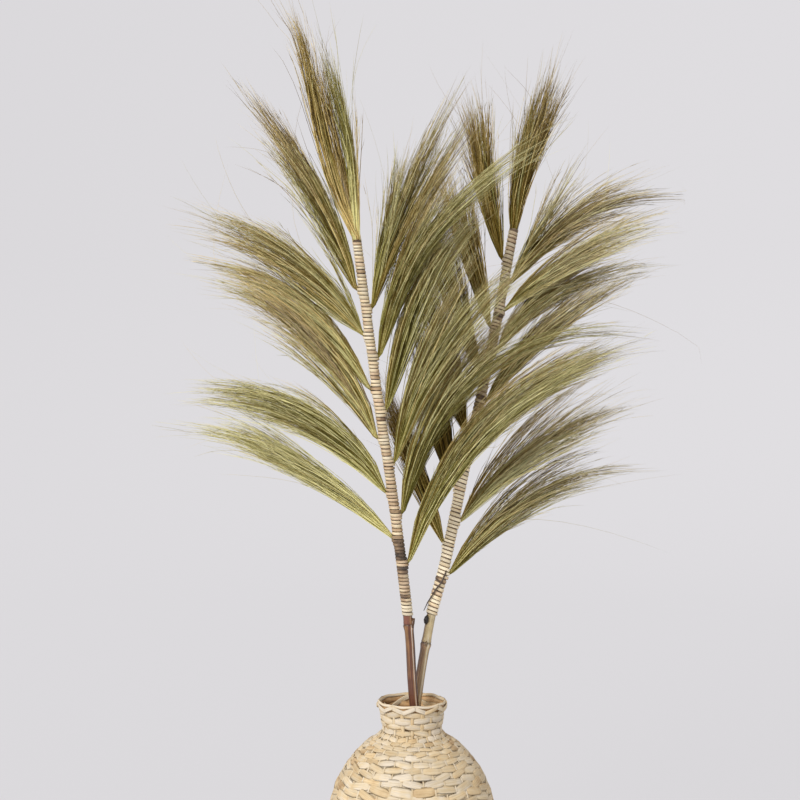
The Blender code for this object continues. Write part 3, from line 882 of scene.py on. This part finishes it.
def make_bundle(bundle, material, number):
    """A bundle of stems that part into tufts and locks, with spikelets and fine hairs on them."""
    cane, side = CANES[bundle.cane_name], bundle.side
    rng = np.random.default_rng(1000 + number)
    height = cane.tip if bundle.at_tip else bundle.height
    along = cane.direction(height)
    outwards = Vector((side * along.z, 0.0, -side * along.x)).normalized()
    if bundle.at_tip:
        place = cane.at(height) + TIP_PLUME_RISE * along
    else:
        surface = cane.binding_radius(height) + BINDING_THICKNESS
        lean = math.radians(bundle.tufts[0][0][0]) - side * math.atan2(along.x, along.z)
        off = surface + GAP + PLUME_ROOT_RADIUS * math.cos(lean) + PLUME_CLEARANCE
        place = cane.at(height) + off * outwards
    lean_back = Matrix.Rotation(-cane.towards_back * math.atan(CANE_LEAN), 3, "X")
    lines, radii, look = bundle_stems(bundle, rng, place, lean_back)
    lines = settle(lines)
    tangents = unit(np.gradient(lines, axis=1))
    centre = lines[:, :1].mean(0, keepdims=True)
    gathered = centre + (1.0 if bundle.at_tip else 0.45) * (lines[:, :1] - centre)
    foot = gathered - TIE_LENGTH * np.array(along)
    if not bundle.at_tip:
        foot = foot - TIE_SINK * np.array(outwards)
    pile = Pile()
    rooted, rooted_radii, rooted_look = (
        np.concatenate(pair, axis=1) for pair in ((foot, lines), (radii[:, :1], radii), (look[:, :1], look)))
    add_strands(pile, rooted, rooted_radii, rooted_look, rng.uniform(0, ANY_SPIN, bundle.stems))
    add_hairs(pile, bundle, lines, tangents, look, rng)
    add_spikelets(pile, bundle, lines, tangents, look, rng)
    pile.build(bundle.name + "_grass", material, "reed_grass", bundle.name)


# Vase


def smooth_profile(points, step):
    """A smooth line through (radius, height) points: the distances along it, its points and its normals."""
    padded = [np.array(p) for p in (points[0], *points, points[-1])]
    line = []
    for a, b, c, d in zip(padded, padded[1:], padded[2:], padded[3:]):
        for t in np.arange(8) / 8:
            square, cube = (2 * a - 5 * b + 4 * c - d) * t**2, (3 * b - a - 3 * c + d) * t**3
            line.append((2 * b + (c - a) * t + square + cube) / 2)
    line = np.array([*line, padded[-1]])
    lengths = np.concatenate([[0], np.cumsum(np.linalg.norm(np.diff(line, axis=0), axis=1))])
    even = np.arange(0, lengths[-1], step)
    line = np.stack([np.interp(even, lengths, line[:, i]) for i in (0, 1)], -1)
    tangent = unit(np.gradient(line, axis=0))
    return even, line, np.stack([-tangent[:, 1], tangent[:, 0]], -1)


class Wall:
    """The basket's middle surface, from the rim down and in under the base."""

    def __init__(self):
        inset = 0.0017
        edge = (VASE_OUTSIDE[-1][0] - 0.001, 0.0012)
        under = [(0.052, 0.0004), (0.034, 0.0010), (0.017, 0.0012), (0.006, 0.0012)]
        self.s, line, self.normal = smooth_profile([*VASE_OUTSIDE[:-1], edge, *under], 0.001)
        self.line = line - inset * self.normal
        self.length = self.s[-1]

    def at(self, s):
        """Radius, height and the outward normal (radial, vertical) at the distances s along the profile."""
        return [np.interp(s, self.s, row) for row in (*self.line.T, *self.normal.T)]

    def at_height(self, height):
        """How far along the profile this height of the upper wall is."""
        return self.s[self.line[:, 1] > height][-1]

    def points(self, s, theta, lift):
        """Points, normals and upward directions at s along the profile and theta round it."""
        radius, height, nr, nz = self.at(s)
        radial = radial_at(theta)
        points = (radius + lift * nr)[:, None] * radial + (height + lift * nz)[:, None] * UP
        return points, nr[:, None] * radial + nz[:, None] * UP, -nz[:, None] * radial + nr[:, None] * UP


def leaned(normals, upward, lean):
    return unit(normals + lean * upward), unit(upward - lean * normals)


def add_weave(pile, wall, rows, stakes, stake_half, rng, fine, fill, tone_middle, side_shade):
    """Plain weave: each row passes in front of every second stake, and the next row in front of the rest."""
    gap = 2 * math.pi / stakes
    pieces = stakes // 2
    for number, (s_row, pitch) in enumerate(zip(rows, np.gradient(rows))):
        theta = np.arange(stakes * fine) / fine * gap
        p = (theta / gap - number) / 2
        piece = np.round(p).astype(int) % pieces
        off = p - np.round(p)
        row_radius = wall.at(s_row)[0]
        arc = (0.5 - np.abs(off)) * 2 * gap * row_radius
        under = np.exp(-((arc / (1.25 * stake_half)) ** 2))
        shift = rng.normal(0, 0.0005, pieces)
        slant = rng.normal(0, 0.046, pieces) * row_radius
        width_rate = rng.uniform(0.82, 1.14, pieces)
        lift_rate = rng.uniform(0.5, 1.3, pieces)
        tilt = rng.normal(0.03, 0.07, pieces)
        tone = np.clip(rng.normal(tone_middle, 0.17, pieces), 0.02, 0.66)
        level = rng.uniform(0.90, 1.07, pieces)
        s = s_row + shift[piece] + slant[piece] * off + 0.0006 * np.sin(3 * theta + rng.uniform(0, ANY_ANGLE))
        lift = WEAVE_LIFT * (lift_rate[piece] * (1 - under) - under)
        points, normals, upward = wall.points(s, theta, lift)
        normals, upward = leaned(normals, upward, tilt[piece][:, None])
        pinch = np.exp(-((arc / (2.4 * stake_half)) ** 2))
        widths = pitch * fill * (1 - 0.30 * pinch) * width_rate[piece]
        # The sides of the vase, left and right of the front, are painted browner and darker: painted shade.
        tones = tone[piece] + side_shade * np.sin(theta) ** 2
        # Where a row dives under a stake its level drops by 6%: painted shade.
        look = np.stack([tones, level[piece] * (1 - 0.06 * under), 0 * theta], -1)
        mark = rng.uniform(0, ANY_MARK)
        add_strip(pile, points, upward, normals, widths, WEAVE_THICKNESS, look, True, mark, SOFT_SECTION)


def add_stakes(pile, wall, rows, stakes, amplitude, width, rng, tones):
    """Upright strips that the rows go over and under."""
    gap = 2 * math.pi / stakes
    places = np.arange(-1, 2 * len(rows)) / 2
    for i in range(stakes):
        s = np.interp(places, np.arange(len(rows)), rows)
        s[0] -= 0.004
        s[-1] += 0.003
        theta = np.full(len(s), i * gap + rng.normal(0, 0.02) * gap)
        points, normals, _ = wall.points(s, theta, -amplitude * np.cos(np.pi * (places - i)))
        widths = np.minimum(width * rng.uniform(0.8, 1.2), 0.55 * gap * wall.at(s)[0])
        look = np.array([rng.uniform(*tones), rng.uniform(0.84, 1.04), 0])
        mark = rng.uniform(0, ANY_MARK)
        sides = around_at(theta)
        add_strip(pile, points, sides, normals, widths, STAKE_THICKNESS, look, False, mark, SOFT_SECTION)


def add_lining(pile, wall, low, depth, tones, levels, shaded_slit_share, rng):
    """The hidden inner turns of the weave, which close it from behind."""
    theta = 2 * math.pi * np.arange(48) / 48
    for s_row in np.arange(low, wall.length - 0.002, 0.0088):
        s = s_row + 0.0008 * np.sin(theta * 5 + rng.uniform(0, ANY_ANGLE))
        points, normals, upward = wall.points(s, theta, np.full(48, -depth))
        normals, upward = leaned(normals, upward, 0.10)
        # A share of the lining pieces are near black, so that they show as dark slits between the rows:
        # painted shade.
        dark = rng.uniform(0, 1, 24) < shaded_slit_share
        tone = np.where(dark, 1.0, rng.uniform(*tones, 24))
        level = np.where(dark, 0.25, rng.uniform(*levels, 24))
        look = np.stack([np.repeat(tone, 2), np.repeat(level, 2), 0 * theta], -1)
        mark = rng.uniform(0, ANY_MARK)
        add_strip(pile, points, upward, normals, 0.0122, 0.0004, look, True, mark, SOFT_SECTION)


def add_rim(pile, wall, rng):
    """The border: a strip folded to and fro outside, another inside, and a rolled edge on top."""
    rim_radius, rim_height, _, _ = wall.at(wall.s[wall.line[:, 1] > 0.270])
    for folds, turn, top, low, off, width in (
            (18, 0.2, 0.2966, 0.2912, 0.0010, 0.0052), (6, 1.0, 0.2962, 0.2790, -0.0034, 0.0062)):
        thetas = 2 * math.pi * (np.arange(folds) + turn + rng.normal(0, 0.05, folds)) / folds
        heights = np.where(np.arange(folds) % 2 == 0, top, low) + rng.normal(0, 0.0004, folds)
        for i in range(folds):
            following = (i + 1) % folds
            t0, t1 = thetas[i], thetas[following]
            if t1 < t0:
                t1 += 2 * math.pi
            share = np.linspace(-0.08, 1.08, 11)
            height = heights[i] + (heights[following] - heights[i]) * share
            radius = np.interp(height, rim_height[::-1], rim_radius[::-1]) + off
            front = (0.0003 if i % 2 else -0.0003) + 0.0003 * np.sin(np.pi * np.clip(share, 0, 1))
            radial = radial_at(t0 + (t1 - t0) * share)
            centre = (radius + front)[:, None] * radial + height[:, None] * UP
            side = unit(np.cross(radial, unit(np.gradient(centre, axis=0))))
            look = np.array([float(np.clip(rng.normal(0.14, 0.12), 0, 1)), rng.uniform(0.94, 1.08), 0])
            strip_width = width * rng.uniform(0.9, 1.1)
            mark = rng.uniform(0, ANY_MARK)
            add_strip(pile, centre, side, radial, strip_width, STAKE_THICKNESS, look, mark=mark)
    theta = 2 * math.pi * np.arange(96) / 96
    radial = radial_at(theta)
    wave = 0.0005 * np.sin(8 * theta + 0.6) + 0.0003 * np.sin(5 * theta + 2)
    for radius, height, width, lean, tone in (
            (0.0403, 0.2983, 0.0032, 0.4, 0.16), (0.0388, 0.2980, 0.0034, -0.3, 0.26)):
        centre = (radius + 0.6 * wave)[:, None] * radial + (height + wave)[:, None] * UP
        normal = unit(radial + lean * UP)
        side = unit(np.cross(around_at(theta), normal))
        look = np.array([tone, 1.05, 0])
        mark = rng.uniform(0, ANY_MARK)
        add_strip(pile, centre, side, normal, width, 0.0008, look, closed=True, mark=mark)


def make_vase(material):
    """The basket: its neck, its body, the lining behind them and the rim."""
    rng = np.random.default_rng(7)
    wall = Wall()
    pile = Pile()
    neck_foot = wall.at_height(0.2595)
    neck_rows = wall.at_height(0.2878) + 0.0071 * np.arange(4)
    add_weave(pile, wall, neck_rows, 20, 0.0024, rng, 10, 1.26, 0.02, 0.06)
    add_stakes(pile, wall, neck_rows, 20, 0.0004, 0.0044, rng, (0.14, 0.44))
    body_rows = [neck_foot]
    while body_rows[-1] < wall.length - 0.010:
        body_rows.append(body_rows[-1] + np.interp(body_rows[-1] - neck_foot, (0.0, 0.07), (0.0066, 0.0090)))
    add_weave(pile, wall, body_rows, 40, 0.0014, rng, 6, 1.30, 0.22, 0.22)
    add_stakes(pile, wall, body_rows, 40, 0.0003, 0.0024, rng, (0.10, 0.40))
    # The upper lining, seen inside the rim, is given brown tones: painted shade of the vase's inside.
    add_lining(pile, wall, wall.at_height(0.2922), 0.0021, (0.74, 0.98), (1.2, 1.5), 0.0, rng)
    add_lining(pile, wall, neck_rows[1], 0.0006, (0.12, 0.38), (0.85, 1.0), 0.06, rng)
    add_rim(pile, wall, rng)
    for points in pile.points:
        points[:, 2] = np.maximum(points[:, 2], LOWEST)
    pile.build("vase_weave", material, "straw", "vase")


# Stage


def make_stage():
    """A round pale floor that sweeps up into a wall all round, and soft light."""
    floor_radius, sweep, around = 2.9, 1.3, 96
    rings = [(0.0, 0.0), (1.2, 0.0), (floor_radius, 0.0)]
    for i in range(1, 13):
        turn = math.pi / 2 * i / 12
        rings.append((floor_radius + sweep * math.sin(turn), sweep * (1 - math.cos(turn))))
    rings.append((floor_radius + sweep, 6.0))
    turns = [2 * math.pi * i / around for i in range(around)]
    points = []
    for radius, height in rings:
        points += [(radius * math.cos(turn), radius * math.sin(turn), height) for turn in turns]
    mesh = bpy.data.meshes.new("stage")
    mesh.from_pydata(points, [], ring_quads(len(rings), around).reshape(-1, 4).tolist())
    for polygon in mesh.polygons:
        polygon.use_smooth = True
    material = bpy.data.materials.new("pale_stage")
    material.use_nodes = True
    set_inputs(material.node_tree.nodes["Principled BSDF"], {
        "Base Color": (0.12, 0.118, 0.121, 1.0),
        "Emission Color": (0.730, 0.716, 0.738, 1.0),
        "Emission Strength": 0.81,
        "Roughness": 0.95,
        "Specular IOR Level": 0.1,
    })
    mesh.materials.append(material)
    stage = bpy.data.objects.new("stage", mesh)
    SCENE.collection.objects.link(stage)
    stage.visible_diffuse = False
    stage.visible_glossy = False
    stage.visible_shadow = False

    world = bpy.data.worlds.new("soft_light")
    SCENE.world = world
    world.use_nodes = True
    set_inputs(world.node_tree.nodes["Background"], {"Color": (1.0, 0.99, 1.0, 1.0), "Strength": 0.62})
    sun = bpy.data.lights.new("soft_sun", "SUN")
    sun.energy = 2.05
    sun.angle = math.radians(32)
    lamp = bpy.data.objects.new("soft_sun", sun)
    lamp.rotation_euler = Vector((0.54, 0.76, -0.50)).to_track_quat("-Z", "Y").to_euler()
    SCENE.collection.objects.link(lamp)


def make_camera():
    data = bpy.data.cameras.new("camera")
    data.lens = 63.0
    data.sensor_width = 36.0
    data.clip_end = 40.0
    camera = bpy.data.objects.new("camera", data)
    camera.location = (-0.0144, -1.68, 0.659)
    camera.rotation_euler = (math.radians(90), 0, 0)
    SCENE.collection.objects.link(camera)
    SCENE.camera = camera
    SCENE.view_settings.view_transform = "Standard"


STRAW_STOPS = (
    (0.0, (0.77, 0.66, 0.51)),
    (0.25, (0.735, 0.59, 0.385)),
    (0.5, (0.71, 0.525, 0.295)),
    (0.75, (0.55, 0.37, 0.19)),
    (1.0, (0.36, 0.195, 0.08)),
)
SPLIT_CANE_STOPS = (
    (0.0, (0.87, 0.745, 0.54)),
    (0.2, (0.81, 0.65, 0.41)),
    (0.35, (0.76, 0.57, 0.385)),
    (0.6, (0.50, 0.34, 0.19)),
    (0.8, (0.25, 0.165, 0.105)),
    (1.0, (0.09, 0.07, 0.055)),
)
RED_CANE_STOPS = (
    (0.0, (0.025, 0.011, 0.007)),
    (0.3, (0.105, 0.048, 0.022)),
    (0.6, (0.36, 0.185, 0.075)),
    (0.8, (0.56, 0.40, 0.28)),
    (1.0, (0.90, 0.84, 0.80)),
)
OLIVE_CANE_STOPS = (
    (0.0, (0.05, 0.032, 0.022)),
    (0.35, (0.22, 0.125, 0.07)),
    (0.7, (0.58, 0.44, 0.225)),
    (0.85, (0.70, 0.56, 0.32)),
    (1.0, (0.84, 0.76, 0.64)),
)
# Streaks along the canes: up to a height, the degrees round the cane (-90 is the front and 0 the right),
# the tones there, and how red it is there. The palest tones at and a little right of the front (1.0, near
# white in the stops, and the broad 0.8 to 0.86 on the right cane above its node) are a painted highlight, and
# the dark tones at the left and right edges are painted shade; the tones between and the redness are the
# canes' own colour.
LEFT_PLACES = (-180, -140, -112, -90, -74, -64, -54, -42, 0, 90, 180)
LEFT_STREAKS_AND_SHADING = (
    (0.330, LEFT_PLACES,
     (0.06, 0.22, 0.36, 0.24, 0.40, 1.0, 0.90, 0.08, 0.05, 0.4, 0.06),
     (0.2, 0.25, 0.22, 0.28, 0.1, 0.0, 0.0, 0.1, 0.2, 0.4, 0.2)),
    (0.362, LEFT_PLACES,
     (0.08, 0.36, 0.44, 0.22, 0.38, 1.0, 0.85, 0.08, 0.05, 0.4, 0.08),
     (0.1, 0.1, 0.12, 0.25, 0.1, 0.0, 0.0, 0.1, 0.2, 0.4, 0.1)),
    (0.3925, (-180, -140, -112, -90, -74, -62, -50, -36, 0, 90, 180),
     (0.10, 0.50, 0.50, 0.22, 0.34, 1.0, 0.66, 0.10, 0.05, 0.4, 0.10),
     (0.1, 0.0, 0.0, 0.25, 0.2, 0.0, 0.0, 0.1, 0.2, 0.4, 0.1)),
    (9.0, (-180, -130, -90, -60, -40, 0, 90, 180),
     (0.30, 0.46, 0.40, 0.62, 0.50, 0.15, 0.4, 0.3),
     (0.3, 0.5, 0.5, 0.1, 0.1, 0.3, 0.4, 0.3)),
)
RIGHT_STREAKS_AND_SHADING = (
    (0.3665, (-180, -145, -115, -88, -74, -64, -50, -20, 0, 90, 180),
     (0.0, 0.22, 0.48, 0.50, 0.58, 1.0, 0.84, 0.46, 0.16, 0.4, 0.0),
     (0.0, 0.1, 0.2, 0.2, 0.1, 0.0, 0.1, 0.2, 0.1, 0.2, 0.0)),
    (9.0, (-180, -150, -120, -85, -50, -20, 0, 90, 180),
     (0.1, 0.35, 0.72, 0.86, 0.80, 0.66, 0.4, 0.6, 0.1),
     (0.0, 0.0, 0.0, 0.0, 0.0, 0.0, 0.0, 0.0, 0.0)),
)
# Colours along the bindings: from a height, up to a height, the tone and the level
LEFT_SECTIONS = (
    (0.0, 0.4225, 0.06, 1.06), (0.4225, 0.452, 0.40, 0.92), (0.452, 0.470, 0.52, 0.95),
    (0.470, 0.499, 0.80, 0.8), (0.499, 0.600, 0.28, 0.98), (0.600, 0.720, 0.20, 0.98),
    (0.720, 1.0, 0.16, 1.0),
)
# On the right binding, the levels above 1 up to 0.58 make it brighter than its own colour, which is painted
# light against the plumes' shadow, and the darker, browner sections from 0.58 up are painted shade of the
# plumes over them.
RIGHT_SECTIONS = (
    (0.0, 0.410, 0.0, 1.20), (0.410, 0.446, 0.24, 1.18), (0.446, 0.580, 0.0, 1.28),
    (0.580, 0.800, 0.38, 0.82), (0.800, 1.0, 0.22, 0.80),
)
# Small pieces on the canes: a line, its radii, its tone and its level
CUT_STUB = (
    ((-0.0016, -0.0172, 0.3870), (-0.0002, -0.0184, 0.3900), (0.0010, -0.0184, 0.3940),
     (0.0018, -0.0180, 0.4000)),
    (0.0008, 0.0021, 0.0020, 0.0017), 0.34, 0.8)
DARK_BUD = (
    ((0.0166, 0.0102, 0.3880), (0.0168, 0.0094, 0.3900), (0.0172, 0.0090, 0.3935), (0.0178, 0.0094, 0.3970),
     (0.0186, 0.0104, 0.3995)),
    (0.0004, 0.0023, 0.0032, 0.0024, 0.0006), 0.0, 0.3)
NODE_BUD = (
    ((0.0168, 0.0074, 0.3615), (0.0170, 0.0066, 0.3632), (0.0172, 0.0064, 0.3655), (0.0174, 0.0070, 0.3685)),
    (0.0004, 0.0014, 0.0013, 0.0003), 0.42, 0.9)
DARK_TWIG = (
    ((0.0416, 0.0130, 0.4530), (0.0405, 0.0108, 0.4495), (0.0354, 0.0084, 0.4387), (0.0290, 0.0080, 0.4310),
     (0.0245, 0.0088, 0.4235), (0.0190, 0.0106, 0.4146), (0.0143, 0.0121, 0.4043)),
    (0.0004, 0.0009, 0.0010, 0.0009, 0.0008, 0.0007, 0.0004), 0.12, 0.5)


def main():
    make_camera()
    make_stage()
    make_vase(straw_material("woven_straw", STRAW_STOPS))
    red_brown = cane_material("red_brown_cane", RED_CANE_STOPS, 0.30)
    make_cane("left", (0.120, 0.391), LEFT_STREAKS_AND_SHADING, 0.404, red_brown, 0.2, (CUT_STUB,))
    olive_brown = cane_material("olive_brown_cane", OLIVE_CANE_STOPS, 0.34)
    make_cane("right", (0.150, 0.364), RIGHT_STREAKS_AND_SHADING, 0.400, olive_brown, 0.7,
              (DARK_BUD, DARK_TWIG, NODE_BUD))
    strip = straw_material("split_cane_strip", SPLIT_CANE_STOPS, 0.45, 1100.0, 0.00012)
    make_binding("left", 0.4025, 0.0042, 0.0035, 0.0008, 0.90, LEFT_SECTIONS, strip, 31)
    make_binding("right", 0.399, 0.0047, 0.0038, 0.0013, 0.80, RIGHT_SECTIONS, strip, 32)
    grass = grass_material()
    for number, bundle in enumerate(BUNDLES):
        make_bundle(bundle, grass, number)


main()
